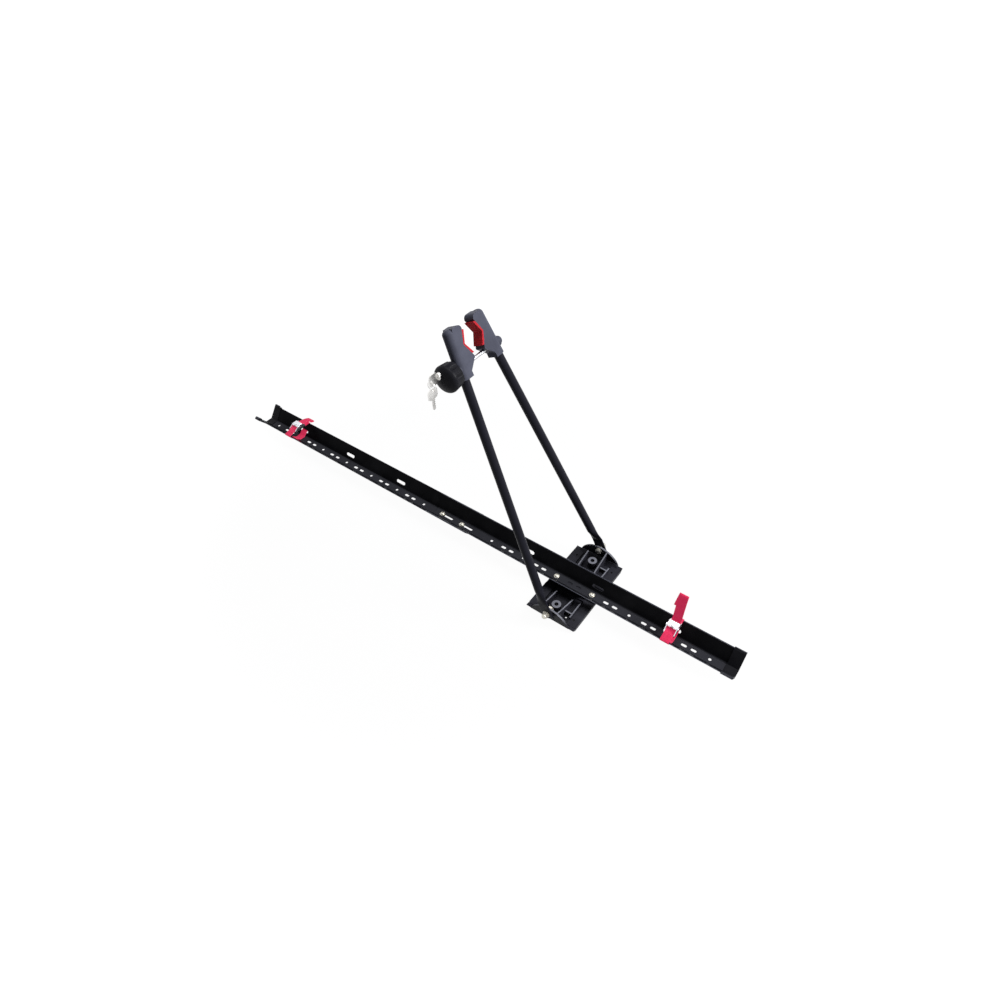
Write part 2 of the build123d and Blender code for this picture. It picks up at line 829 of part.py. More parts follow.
def lock_plug():
    front = plug_front + lock_lip_thick
    start = plug_back + lock_fit
    body = along_y(lock_x, -front, lock_z, plug_radius, front - start)
    wide = key_thick + 2 * key_fit
    high = key_blade_high + 2 * key_fit
    deep = key_blade_long + key_fit
    room = Box(wide, deep + overrun, high, align=(Align.CENTER, Align.MIN, Align.CENTER))
    return body - Pos(lock_x, -front - overrun, lock_z) * room


def key_shape():
    """A key lying in its own plane: bow behind the origin, blade ahead of it, along +X."""
    bow = Pos(-key_bow_wide / 2, 0) * RectangleRounded(key_bow_wide, key_bow_high, key_bow_round)
    half = key_blade_high / 2
    notches = []
    for share in key_notch_shares:
        x = key_blade_long * share
        notches.append((x - key_notch_deep, half))
        notches.append((x, half - key_notch_deep))
        notches.append((x + key_notch_deep, half))
    tip = key_blade_long - key_tip
    points = [(-key_tip, -half), (tip, -half), (key_blade_long, 0), (tip, half)]
    points = points + notches[::-1] + [(-key_tip, half)]
    blade = make_face(Polyline(*points, close=True))
    hole = Pos(-key_bow_wide / 2 - key_hole_out, 0) * Circle(key_hole)
    return bow + blade - hole


def key_plane(y, z, forward, up):
    """The plane a key lies in, upright across the lock's axis."""
    return Plane(origin=(lock_x, y, z), x_dir=forward, z_dir=Vector(*forward).cross(Vector(*up)))


def key_body(plane):
    body = extrude(plane * key_shape(), key_thick / 2, both=True)
    for face in (-1, 1):
        groove = Pos(key_blade_long / 2, 0, face * key_thick / 2) * Box(
            key_blade_long + key_tip, key_blade_high / 4, 2 * key_groove
        )
        body = body - plane * groove
    return body


def key_hole_y():
    return -(plug_front + lock_lip_thick + key_fit + key_bow_wide / 2 + key_hole_out)


def key_in_lock():
    start = -(plug_front + lock_lip_thick + key_fit)
    return key_body(key_plane(start, lock_z, (0, 1, 0), (0, 0, 1)))


def ring_centre_z():
    return lock_z - (key_hole - ring_wire - ring_seat) - ring_radius


def key_ring():
    plane = Plane(origin=(lock_x, key_hole_y(), ring_centre_z()), x_dir=(1, 0, 0), z_dir=(0, 1, 0))
    return plane * Torus(ring_radius, ring_wire)


def spare_key():
    hole_z = ring_centre_z() - ring_radius - (key_hole - ring_wire - ring_seat)
    start = hole_z - key_bow_wide / 2 - key_hole_out
    return key_body(key_plane(key_hole_y(), start, (0, 0, -1), (0, 1, 0)))


# Cam buckles, at a strap's place along the channel


def buckle_floor():
    return floor_top + buckle_lift


def cam_centre():
    lift = buckle_sheet + web_thick + 2 * web_gap
    return (buckle_pin_y, buckle_floor() + lift + cam_nose)


def buckle_frame(x):
    """A folded plate with two cheeks and a bar for the sewn end of the strap."""
    bottom = buckle_floor()
    low = (Align.CENTER, Align.MIN, Align.MIN)
    body = Pos(x, buckle_back, bottom) * Box(buckle_wide, buckle_plate_long, buckle_sheet, align=low)
    points = [(along * buckle_long, up * buckle_cheek) for along, up in buckle_cheek_shares]
    cheek = make_face(Polyline(*points, close=True))
    for hand in (-1, 1):
        edge = x + hand * (buckle_wide - buckle_sheet) / 2
        plane = Plane(origin=(edge, buckle_back, bottom), x_dir=(0, 1, 0), z_dir=(1, 0, 0))
        body = body + extrude(plane * cheek, buckle_sheet / 2, both=True)
    bar_z = bottom + buckle_bar_rise
    bar = Rot(0, 90, 0) * Cylinder(buckle_bar / 2, buckle_wide - buckle_sheet)
    pin_y, pin_z = cam_centre()
    hole = Rot(0, 90, 0) * Cylinder(buckle_pin / 2 + bolt_fit, 2 * buckle_wide)
    return body + Pos(x, buckle_bar_y, bar_z) * bar - Pos(x, pin_y, pin_z) * hole


def buckle_axle(x):
    """The rivet that the lever turns on."""
    pin_y, pin_z = cam_centre()
    long = buckle_wide + 2 * buckle_sheet
    body = Pos(x, pin_y, pin_z) * Rot(0, 90, 0) * Cylinder(buckle_pin / 2, long)
    for hand in (-1, 1):
        head_x = x + hand * (buckle_wide / 2 + seat_gap + buckle_sheet / 2)
        body = body + Pos(head_x, pin_y, pin_z) * Rot(0, 90, 0) * Cylinder(buckle_pin * 0.8, buckle_sheet)
    return body


def buckle_lever(x):
    """The toothed cam and the thumb plate that lifts it."""
    pin_y, pin_z = cam_centre()
    wide = buckle_wide - 2 * (buckle_sheet + lever_side_gap)
    tilt = radians(lever_tilt)
    nose = radians(cam_nose_angle)
    tip = (lever_length * cos(tilt), lever_length * sin(tilt))
    lip = (tip[0], tip[1] + lever_lip)
    thick = lever_thick
    points = [
        (0, cam_hub),
        (lip[0] - thick, lip[1]),
        lip,
        tip,
        (cam_hub * cos(nose), tip[1] - thick),
        (cam_nose * sin(nose), -cam_nose * cos(nose)),
    ]
    steps = 2 * cam_tooth_count
    for step in range(1, steps + 1):
        angle = nose - 2 * nose * step / steps
        reach = cam_nose - cam_tooth * (step % 2)
        points.append((reach * sin(angle), -reach * cos(angle)))
    points.append((-cam_hub, 0))
    outline = make_face(Polyline(*points, close=True)) + Circle(cam_hub)
    plane = Plane(origin=(x, pin_y, pin_z), x_dir=(0, 1, 0), z_dir=(1, 0, 0))
    body = extrude(plane * outline, wide / 2, both=True)
    body = body - Pos(x, pin_y, pin_z) * Rot(0, 90, 0) * Cylinder(buckle_pin / 2 + bolt_fit, 2 * buckle_wide)
    room = Rot(0, 90, 0) * Cylinder(cam_hub, lever_spring_gap)
    return body - Pos(x, pin_y, pin_z) * room


def buckle_spring(x):
    """The torsion spring round the rivet, in the gap of the lever's hub."""
    pin_y, pin_z = cam_centre()
    pitch = (lever_spring_gap - 3 * spring_wire) / spring_turns
    path = Helix(pitch, pitch * spring_turns, spring_radius)
    start = Plane(origin=path @ 0, z_dir=path % 0)
    coil = sweep(start * Circle(spring_wire / 2), path, is_frenet=True)
    place = Pos(x - pitch * spring_turns / 2, pin_y, pin_z) * Rot(0, 90, 0)
    return place * coil


# Webbing


def offset_route(points, distance):
    """The route moved sideways by distance, with mitred corners."""
    moved = []
    count = len(points)
    for index, point in enumerate(points):
        before = points[max(index - 1, 0)]
        after = points[min(index + 1, count - 1)]
        first = Vector(point[0] - before[0], point[1] - before[1]) if index > 0 else None
        second = Vector(after[0] - point[0], after[1] - point[1]) if index < count - 1 else None
        first = (first or second).normalized()
        second = (second or first).normalized()
        normal = (Vector(-first.Y, first.X) + Vector(-second.Y, second.X)).normalized()
        reach = distance / max(normal.dot(Vector(-first.Y, first.X)), 0.2)
        moved.append((point[0] + normal.X * reach, point[1] + normal.Y * reach))
    return moved


def ribbon(route, x):
    """A strap of webbing whose middle follows a route of points and bend radii across the channel."""
    points = [(y, z) for y, z, bend in route]
    sides = []
    for hand in (1, -1):
        line = offset_route(points, hand * web_thick / 2)
        bends = []
        for index in range(1, len(route) - 1):
            a, b, c = points[index - 1 : index + 2]
            turn = (b[0] - a[0]) * (c[1] - b[1]) - (b[1] - a[1]) * (c[0] - b[0])
            inside = hand if turn > 0 else -hand
            bends.append(route[index][2] - inside * web_thick / 2)
        sides.append(FilletPolyline(*line, radius=bends))
    left, right = sides
    ends = [Line(left @ 0, right @ 0), Line(left @ 1, right @ 1)]
    plane = Plane(origin=(x, 0, 0), x_dir=(0, 1, 0), z_dir=(1, 0, 0))
    return extrude(plane * make_face([left, right, *ends]), web_wide / 2, both=True)


def wall_route(shift):
    """From the channel's floor out through a wall slot, up outside and over the wall's top.

    The wall's section is moved outwards by shift, as on the rear channel piece.
    """
    lie = web_thick / 2 + web_gap
    half = gauge / 2
    side = half + lie

    def at(along, out):
        away = shift + half + out
        y = channel_floor / 2 + along * wall_cos + away * wall_sin
        return (y, floor_top + along * wall_sin - away * wall_cos)

    middle = wall_slot_height / wall_sin
    cross = wall_slot_wide / 2
    return [
        (channel_floor / 2 - channel_bend / 2, floor_top - shift + lie, web_turn),
        (*at(middle - cross, -side), web_turn),
        (*at(middle + cross, side), web_turn),
        (*at(wall_length + lie, side), web_turn / 1.5),
        (*at(wall_length + lie + half, -side / 2), web_turn / 1.5),
    ]


def strap_route(shift):
    """From the sewn loop on the buckle's bar, round the channel, under the cam and over the bar."""
    lie = web_thick / 2 + web_gap
    loop = buckle_bar / 2 + lie
    bar_z = buckle_floor() + buckle_bar_rise
    sewn_z = bar_z - loop + web_thick + 2 * web_gap
    line_z = buckle_floor() + buckle_sheet + lie
    over_z = bar_z + loop + web_thick + 2 * web_gap
    far = wall_route(shift)
    near = [(-y, z, bend) for y, z, bend in far]
    start = [
        (buckle_bar_y + sewn_long, sewn_z, 0),
        (buckle_bar_y + sewn_from, sewn_z, web_turn),
        (buckle_bar_y + loop / 3, bar_z + loop, web_turn),
        (buckle_bar_y - loop, bar_z + loop, loop / 1.2),
        (buckle_bar_y - loop, bar_z - loop, loop / 1.2),
    ]
    through = [
        (buckle_back - lie, line_z, web_turn),
        (buckle_pin_y + tail_climb, line_z, web_turn),
        (buckle_pin_y + tail_climb + tail_reach, over_z, web_turn),
    ]
    return start + far[::-1] + near + through


def front_strap():
    """The tail stands up and is folded back at its top."""
    route = strap_route(0)
    low = route[-1][1]
    top = low + tail_height
    end_y = tail_y + tail_lean + tail_fold
    tail = [
        (tail_y, low, web_turn),
        (tail_y + tail_lean * tail_sway_share, low + tail_height / 2, tail_height / 2),
        (tail_y + tail_lean, top, tail_fold / 2.4),
        (end_y, top, tail_fold / 2.4),
        (end_y - gauge, top - tail_return, 0),
    ]
    return ribbon(route + tail, front_strap_x)


def rear_strap():
    """The tail flops over beside the buckle."""
    route = strap_route(rear_offset)
    low = route[-1][1]
    peak = low + rear_tail_peak
    tail = [
        (tail_y, low, web_turn),
        (tail_y, low + rear_tail_rise, web_turn),
        (rear_tail_far, peak, rear_tail_fold / 2.4),
        (rear_tail_far + rear_tail_fold, peak, rear_tail_fold / 2.4),
        (rear_tail_far + rear_tail_fold, peak - rear_tail_drop, 0),
    ]
    return ribbon(route + tail, rear_strap_x)


def build():
    """Every piece by its name."""
    joint_x = joint_places()
    joint_top = floor_top + screw_washer_thick
    rear_bottom = foot_seat - gauge - nest_gap
    pieces = {
        "front_channel": front_channel(),
        "rear_channel": rear_channel(),
        "front_end_cap": end_cap(0, front_channel_front, -1),
        "rear_end_cap": end_cap(rear_offset, rear_channel_back, 1),
        "joint_screws": [button_screw(x, joint_top, rear_bottom - joint_nut_high) for x in joint_x],
        "joint_washers": [plain_washer(x, floor_top) for x in joint_x],
        "joint_nuts": [flange_nut(x, rear_bottom, joint_nut_high) for x in joint_x],
        "foot": foot(),
        "foot_screws": [button_screw(x, joint_top, nut_fit) for x in foot_screw_places],
        "foot_washers": [plain_washer(x, floor_top) for x in foot_screw_places],
        "foot_nuts": [foot_nut(x) for x in foot_screw_places],
        "clamp_rod": clamp_rod(),
        "rod_cap_nut": rod_cap_nut(),
        "thrust_washer": thrust_ring(),
        "knob": knob(),
        "knob_insert": knob_insert(),
        "lock_barrel": lock_barrel(),
        "lock_plug": lock_plug(),
        "key_in_lock": key_in_lock(),
        "key_ring": key_ring(),
        "spare_key": spare_key(),
        "front_strap": front_strap(),
        "rear_strap": rear_strap(),
    }
    for name, side, travel in (("near", -1, rod_slot_travel), ("far", 1, 0)):
        pieces[name + "_arm_tube"] = arm_tube(side, travel)
        pieces[name + "_jaw"] = jaw(side, travel)
        pieces[name + "_jaw_pad"] = jaw_pad(side)
        pieces[name + "_pivot_bolt"] = pivot_bolt(side)
        pieces[name + "_pivot_washers"] = pivot_washers(side)
        pieces[name + "_pivot_nut"] = cap_nut(side)
    for name, x in (("front", front_strap_x), ("rear", rear_strap_x)):
        pieces[name + "_buckle_frame"] = buckle_frame(x)
        pieces[name + "_buckle_pin"] = buckle_axle(x)
        pieces[name + "_buckle_lever"] = buckle_lever(x)
        pieces[name + "_buckle_spring"] = buckle_spring(x)
    return pieces


for node, shape in build().items():
    if isinstance(shape, list):
        shape = Compound(children=shape)
    export_step(shape, "parts/" + node + ".step")
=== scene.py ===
import json
from math import atan2, hypot, pi, radians

import bmesh
import bpy
from mathutils import Matrix, Vector


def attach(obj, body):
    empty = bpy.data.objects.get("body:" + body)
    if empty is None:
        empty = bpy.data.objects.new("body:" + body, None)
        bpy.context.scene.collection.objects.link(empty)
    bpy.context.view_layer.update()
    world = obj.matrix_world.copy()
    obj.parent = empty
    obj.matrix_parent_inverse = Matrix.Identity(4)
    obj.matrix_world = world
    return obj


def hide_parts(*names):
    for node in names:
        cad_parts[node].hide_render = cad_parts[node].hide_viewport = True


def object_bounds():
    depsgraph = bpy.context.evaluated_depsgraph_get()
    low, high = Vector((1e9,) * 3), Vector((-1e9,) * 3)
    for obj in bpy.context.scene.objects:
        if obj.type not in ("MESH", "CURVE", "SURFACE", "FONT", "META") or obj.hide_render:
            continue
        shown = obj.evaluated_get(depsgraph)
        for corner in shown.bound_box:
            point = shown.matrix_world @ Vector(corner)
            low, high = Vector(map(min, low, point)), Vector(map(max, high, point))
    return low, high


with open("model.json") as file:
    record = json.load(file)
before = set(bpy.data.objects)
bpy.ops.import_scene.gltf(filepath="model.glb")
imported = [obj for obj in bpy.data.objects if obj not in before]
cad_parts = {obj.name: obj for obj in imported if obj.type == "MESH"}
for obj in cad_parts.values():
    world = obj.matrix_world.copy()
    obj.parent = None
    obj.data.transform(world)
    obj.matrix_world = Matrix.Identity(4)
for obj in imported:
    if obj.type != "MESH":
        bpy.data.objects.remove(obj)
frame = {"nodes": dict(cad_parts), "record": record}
cad_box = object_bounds()

MM = 0.001
WHITE = (1.0, 1.0, 1.0, 1.0)


# Camera and lamps, in metres and watts


def set_camera():
    """The camera stands where the photograph was taken from."""
    place = (0.476258, -0.842808, 1.26954)
    right = Vector((0.799624, 0.599274, -0.038361))
    down = Vector((0.405606, -0.586108, -0.701399))
    ahead = Vector((-0.442814, 0.545297, -0.711735))
    data = bpy.data.cameras.new("camera")
    data.sensor_width = 36.0
    data.lens = 24.663
    data.clip_end = 50.0
    camera = bpy.data.objects.new("camera", data)
    turn = Matrix((right, -down, -ahead)).transposed().to_4x4()
    camera.matrix_world = Matrix.Translation(place) @ turn
    bpy.context.collection.objects.link(camera)
    bpy.context.scene.camera = camera


def area_lamp(name, place, aim, size, power):
    """A flat lamp that faces the point it is aimed at."""
    data = bpy.data.lights.new(name, "AREA")
    data.shape = "RECTANGLE"
    data.size, data.size_y = size
    data.energy = power
    lamp = bpy.data.objects.new(name, data)
    ray = Vector(aim) - Vector(place)
    turn = ray.to_track_quat("-Z", "Y").to_matrix().to_4x4()
    lamp.matrix_world = Matrix.Translation(place) @ turn
    bpy.context.collection.objects.link(lamp)


# Shader maths


class Value:
    """A shader value: arithmetic on it adds Math nodes."""

    def __init__(self, nodes, socket):
        self.nodes = nodes
        self.socket = socket

    def math(self, operation, *items):
        return self.nodes.add("ShaderNodeMath", {"operation": operation}, dict(enumerate(items)))

    def __add__(self, other):
        return self.math("ADD", self, other)

    def __radd__(self, other):
        return self.math("ADD", other, self)

    def __sub__(self, other):
        return self.math("SUBTRACT", self, other)

    def __rsub__(self, other):
        return self.math("SUBTRACT", other, self)

    def __mul__(self, other):
        return self.math("MULTIPLY", self, other)

    def __rmul__(self, other):
        return self.math("MULTIPLY", other, self)

    def __neg__(self):
        return self * -1.0

    def __abs__(self):
        return self.math("ABSOLUTE", self)

    def sine(self):
        return self.math("SINE", self)

    def larger(self, other):
        return self.math("MAXIMUM", self, other)

    def between(self, low, high):
        """0 below low, 1 above high and a smooth step between."""
        inputs = {"Value": self, "From Min": low, "From Max": high}
        return self.nodes.add("ShaderNodeMapRange", {"interpolation_type": "SMOOTHSTEP"}, inputs, "Result")


class Nodes:
    """A node tree, with one method that adds every kind of node."""

    def __init__(self, tree):
        self.tree = tree

    def add(self, kind, settings, inputs, output=0):
        """Adds a node: first its settings, then a value or a link for each socket."""
        node = self.tree.nodes.new(kind)
        for key, setting in settings.items():
            setattr(node, key, setting)
        for key, item in inputs.items():
            if isinstance(item, Value):
                self.tree.links.new(item.socket, node.inputs[key])
            else:
                node.inputs[key].default_value = item
        return Value(self, node.outputs[output])

    def seen_directly(self):
        """1 for rays from the camera and from a reflection, and 0 for soft light."""
        ray = self.add("ShaderNodeLightPath", {}, {}, "Is Camera Ray")
        flags = ray.socket.node.outputs
        mirrored = Value(self, flags["Is Glossy Ray"])
        passed = Value(self, flags["Is Transmission Ray"])
        return ray.larger(mirrored).larger(passed)

    def blend(self, share, first, second):
        """A shader that goes from the first to the second."""
        return self.add("ShaderNodeMixShader", {}, {0: share, 1: first, 2: second})


class Finish(Nodes):
    """One material, with the patterns that a finish is built from."""

    def __init__(self, name, **constants):
        self.material = bpy.data.materials.new(name)
        self.material.use_nodes = True
        super().__init__(self.material.node_tree)
        self.shader = self.tree.nodes["Principled BSDF"]
        for socket, value in constants.items():
            self.shader.inputs[socket.replace("_", " ")].default_value = value

    def place(self):
        return self.add("ShaderNodeTexCoord", {}, {}, "Object")

    def facing(self):
        return self.add("ShaderNodeNewGeometry", {}, {}, "Normal")

    def woven(self):
        return self.add("ShaderNodeUVMap", {"uv_map": "weave"}, {})

    def axes(self, vector):
        first = self.add("ShaderNodeSeparateXYZ", {}, {"Vector": vector})
        return [Value(self, output) for output in first.socket.node.outputs]

    def stretched(self, stretch):
        return self.add("ShaderNodeMapping", {}, {"Vector": self.place(), "Scale": stretch})

    def noise(self, scale, detail, roughness, stretch=(1, 1, 1)):
        inputs = {"Vector": self.stretched(stretch), "Scale": scale}
        inputs.update({"Detail": detail, "Roughness": roughness})
        return self.add("ShaderNodeTexNoise", {}, inputs)

    def cells(self, scale):
        """Distance to the nearest edge in a net of small cells."""
        inputs = {"Vector": self.stretched((1, 1, 1)), "Scale": scale}
        return self.add("ShaderNodeTexVoronoi", {"feature": "DISTANCE_TO_EDGE"}, inputs)

    def mix(self, share, low, high):
        """A colour between two colours."""
        first, second = [item if isinstance(item, Value) else (*item, 1.0) for item in (low, high)]
        return self.add("ShaderNodeMix", {"data_type": "RGBA"}, {0: share, 6: first, 7: second}, 2)

    def relief(self, height, depth, strength, under=None):
        """A bump of the given depth in metres, on top of another where one is given."""
        inputs = {"Height": height, "Distance": depth, "Strength": strength}
        if under is not None:
            inputs["Normal"] = under
        return self.add("ShaderNodeBump", {}, inputs)

    def put(self, socket, value):
        self.tree.links.new(value.socket, self.shader.inputs[socket])


# Finishes, with heights and pitches in metres


def paler(colour, times):
    """The colour made lighter, with a trace of grey for the darkest."""
    return tuple(part * times + 0.004 for part in colour)


def gloss_paint(name, colour, rough):
    """Gloss paint, with a painted lit strip along the channel's floor and a painted highlight along the
    tops of its walls.
    """
    lit_strip_high, lit_strip_wide, lit_strip_fade = 0.0125, 0.0125, 0.002
    edge_low, edge_high = 0.0378, 0.0384
    lit_strip_grey, edge_highlight_grey = (0.045, 0.046, 0.056), (0.13, 0.135, 0.17)
    finish = Finish(name, Specular_IOR_Level=0.02, Coat_Roughness=0.12)
    cloud = finish.noise(14.0, 4.0, 0.6)
    dust = finish.noise(420.0, 2.0, 0.7)
    scuffs = finish.noise(60.0, 3.0, 0.7, (0.12, 1, 1)).between(0.62, 0.75)
    peel = finish.noise(900.0, 1.0, 0.4)
    paint = finish.mix(cloud.between(0.35, 0.8), colour, paler(colour, 1.9))
    _, north, up = finish.axes(finish.place())
    # The middle of the channel's floor is painted a lighter grey: a painted pool of light where the floor
    # is lit from above.
    under = (lit_strip_high - up).between(0.0, lit_strip_fade)
    painted_light_strip = under * (lit_strip_wide - abs(north)).between(0.0, lit_strip_fade)
    floor_lit_paint = finish.mix(painted_light_strip * 0.6 * (cloud * 0.5 + 0.7), paint, lit_strip_grey)
    # The tops of the walls are painted lighter: a painted highlight where the sheet's edge faces up to the
    # light.
    edge = up.between(edge_low, edge_high) * (cloud * 0.6 + 0.5)
    finish.put("Base Color", finish.mix(edge, floor_lit_paint, edge_highlight_grey))
    finish.put("Roughness", rough + cloud * 0.1 + dust * 0.06 + scuffs * 0.12)
    finish.put("Normal", finish.relief(peel, 0.00004, 0.35))
    finish.put("Coat Weight", 0.005 + scuffs * 0.02)
    return finish.material


def powder_coat(name, colour, rough):
    """Baked powder paint with a fine grain."""
    finish = Finish(name, Specular_IOR_Level=0.07)
    cloud = finish.noise(20.0, 3.0, 0.5)
    grain = finish.noise(1500.0, 2.0, 0.6)
    finish.put("Base Color", finish.mix(cloud, colour, paler(colour, 1.7)))
    finish.put("Roughness", rough + cloud * 0.08 + grain * 0.08)
    finish.put("Normal", finish.relief(grain, 0.00008, 0.5))
    return finish.material


def moulded(name, colour, rough, gloss, cloudy=1.35, tops=None):
    """Moulded plastic with a spark-eroded grain, and a painted highlight where it faces up above a height.
    """
    highlight_fade = 0.001
    finish = Finish(name, Specular_IOR_Level=gloss)
    cloud = finish.noise(18.0, 4.0, 0.6)
    grain = finish.cells(1100.0)
    skin = finish.mix(cloud.between(0.3, 0.75), colour, paler(colour, cloudy))
    if tops is not None:
        # Faces that point up above the given height are painted lighter: a painted highlight on the tops
        # of ribs and rims.
        height, highlight_colour = tops
        above = finish.axes(finish.place())[2].between(height, height + highlight_fade)
        upward = finish.axes(finish.facing())[2].between(0.55, 0.9)
        skin = finish.mix(above * upward * (cloud * 0.6 + 0.5), skin, highlight_colour)
    finish.put("Base Color", skin)
    finish.put("Roughness", rough + cloud * 0.12)
    finish.put("Normal", finish.relief(grain.between(0.0, 0.35), 0.00006, 0.5))
    return finish.material


def metal(name, colour, rough, brushed=(1, 1, 1), tint=None):
    """Plated or turned metal, with fine lines where its pattern is stretched."""
    finish = Finish(name, Metallic=1.0)
    cloud = finish.noise(90.0, 4.0, 0.6)
    lines = finish.noise(500.0, 2.0, 0.5, brushed)
    second = tint or tuple(part * 0.82 for part in colour)
    finish.put("Base Color", finish.mix(cloud.between(0.35, 0.7), colour, second))
    finish.put("Roughness", rough + cloud * 0.14 + lines * 0.1)
    finish.put("Normal", finish.relief(lines, 0.00003, 0.5))
    return finish.material


def threaded_rod(name):
    """Polished rod, with the thread's ridges towards its near end."""
    pitch, ridge_depth = 0.00125, 0.0006
    thread_start, thread_full = 0.024, 0.027
    finish = Finish(name, Metallic=1.0)
    north = finish.axes(finish.place())[1]
    ridge = (north * (2 * pi / pitch)).sine() * 0.5 + 0.5
    cut = (-north).between(thread_start, thread_full)
    smear = finish.noise(300.0, 3.0, 0.6)
    finish.put("Base Color", finish.mix(smear, (0.82, 0.83, 0.85), (0.62, 0.63, 0.66)))
    finish.put("Roughness", 0.14 + smear * 0.12 + cut * 0.1)
    finish.put("Normal", finish.relief(ridge * cut, ridge_depth, 1.0))
    return finish.material


def red_rubber(name):
    """Matte moulded rubber with ribs across the jaw."""
    rib_pitch, rib_depth = 0.0035, 0.0003
    jaw_rise, jaw_lean = 0.9, 0.43
    finish = Finish(name, Specular_IOR_Level=0.25)
    east, _, up = finish.axes(finish.place())
    cloud = finish.noise(40.0, 4.0, 0.6)
    grain = finish.noise(1800.0, 2.0, 0.7)
    along = up * jaw_rise - east * jaw_lean
    rib = (along * (2 * pi / rib_pitch)).sine().between(-0.2, 0.5)
    finish.put("Base Color", finish.mix(cloud, (0.4, 0.004, 0.012), (0.52, 0.01, 0.022)))
    finish.put("Roughness", 0.55 + cloud * 0.15 + grain * 0.08)
    pores = finish.relief(grain, 0.00006, 0.5)
    finish.put("Normal", finish.relief(rib, rib_depth, 0.6, pores))
    return finish.material


def webbing(name):
    """Woven strap: fine ribs along it, a bound edge, a little fuzz and a painted glow of its own colour.
    """
    warp_pitch, weft_pitch, weave_depth = 0.0011, 0.0016, 0.00035
    bound_start, bound_full = 0.0086, 0.0092
    glow_balance_red = (0.05, 0.0, 0.005)
    # The emission makes the webbing glow in its own colour: painted light that lifts its shaded side.
    finish = Finish(name, Specular_IOR_Level=0.15, Sheen_Weight=0.12, Emission_Strength=0.62)
    along, across, _ = finish.axes(finish.woven())
    warp = (across * (2 * pi / warp_pitch)).sine()
    weft = (along * (2 * pi / weft_pitch) + warp * 1.4).sine()
    bound = abs(across).between(bound_start, bound_full)
    weave = warp * 0.3 + weft * 0.35 + 0.5 + bound * 0.3
    fuzz = finish.noise(2600.0, 2.0, 0.8)
    fade = finish.noise(26.0, 3.0, 0.6)
    low = finish.mix(fade, (0.5, 0.008, 0.045), (0.62, 0.018, 0.08))
    high = finish.mix(fade, (0.68, 0.026, 0.1), (0.76, 0.05, 0.14))
    dye = finish.mix(weave.between(0.1, 0.95), low, high)
    # The lit colour is darkened towards a dark red, so that the painted glow of the same colour carries
    # much of the strap's brightness.
    finish.put("Base Color", finish.mix(fade * 0.2 + 0.35, dye, glow_balance_red))
    finish.put("Emission Color", dye)
    finish.put("Roughness", 0.68 + fuzz * 0.2)
    threads = finish.relief(fuzz, 0.0001, 0.4)
    finish.put("Normal", finish.relief(weave, weave_depth, 0.7, threads))
    return finish.material


def finishes():
    """The finish of each material slot in the record."""
    # Heights and colours of the painted highlights on the tops of the foot's ribs and the cap's rims.
    foot_highlight_tops = (0.0125, (0.2, 0.205, 0.24))
    cap_highlight_tops = (0.0378, (0.1, 0.103, 0.125))
    zinc_shade = (0.5, 0.47, 0.4)
    lengthwise, upright, crosswise = (0.1, 1, 1), (1, 1, 0.2), (1, 0.2, 1)
    return {
        "channel_black": gloss_paint("black_gloss_paint", (0.004, 0.004, 0.005), 0.22),
        "tube_black": powder_coat("black_powder_coat", (0.008, 0.008, 0.013), 0.26),
        "foot_black": moulded("foot_plastic", (0.014, 0.014, 0.019), 0.3, 0.08, 2.0, foot_highlight_tops),
        "cap_black": moulded("cap_plastic", (0.007, 0.007, 0.009), 0.36, 0.05, tops=cap_highlight_tops),
        "jaw_grey": moulded("jaw_plastic", (0.064, 0.067, 0.092), 0.36, 0.05),
        "knob_black": moulded("knob_plastic", (0.009, 0.009, 0.012), 0.3, 0.06, 1.5),
        "pad_red": red_rubber("red_rubber"),
        "strap_red": webbing("red_webbing"),
        "zinc": metal("zinc_plate", (0.64, 0.63, 0.58), 0.24, upright, zinc_shade),
        "buckle_zinc": metal("buckle_plate", (0.86, 0.87, 0.92), 0.2, lengthwise),
        "rod_chrome": threaded_rod("polished_rod"),
        "nickel": metal("nickel_plate", (0.86, 0.85, 0.83), 0.2, crosswise),
        "brass": metal("turned_brass", (0.72, 0.55, 0.26), 0.28, crosswise),
        "spring_steel": metal("spring_wire", (0.6, 0.6, 0.62), 0.3),
    }


def dress_nodes(looks):
    """Every CAD node gets the finish of its slot."""
    slot_of = {part["node"]: part["material_slot"] for part in frame["record"]["subparts"]}
    for name, node in frame["nodes"].items():
        node.data.materials.clear()
        node.data.materials.append(looks[slot_of[name]])


# Sizes of the channel, buckle and webbing, in millimetres

web_wide, web_thick, web_gap = 20.6, 1.4, 0.3
floor_top, gauge, nest_gap = 8.5, 1.5, 0.1
channel_floor, channel_top, channel_depth = 19.0, 69.2, 31.1
wall_run = (channel_top - channel_floor) / 2
wall_long = hypot(wall_run, channel_depth)
wall_cos, wall_sin = wall_run / wall_long, channel_depth / wall_long
slot_rise, slot_half = 10.5, 4.0
floor_bend = 2.0
buckle_floor, buckle_sheet = 41.6, 1.5
buckle_back, buckle_front = -17.5, 18.0
bar_y, bar_z, bar_radius = 15.5, 43.6, 2.0
sewn_end, sewn_bend, loop_crown = 11.0, 8.0, 1.0
cam_edge, cam_over = 2.8, 6.5
front_strap_x, rear_strap_x = 238.0, -939.0
front_tail_rise = 77.0
crease = 1.2
lug_x, lug_y, lug_z = -1068.5, 36.0, 39.5
lie = web_thick / 2 + web_gap  # the webbing's middle above the face that it lies on
layer = web_thick + 2 * web_gap  # from one layer of webbing to the next
loop_radius = bar_radius + lie


# Straps


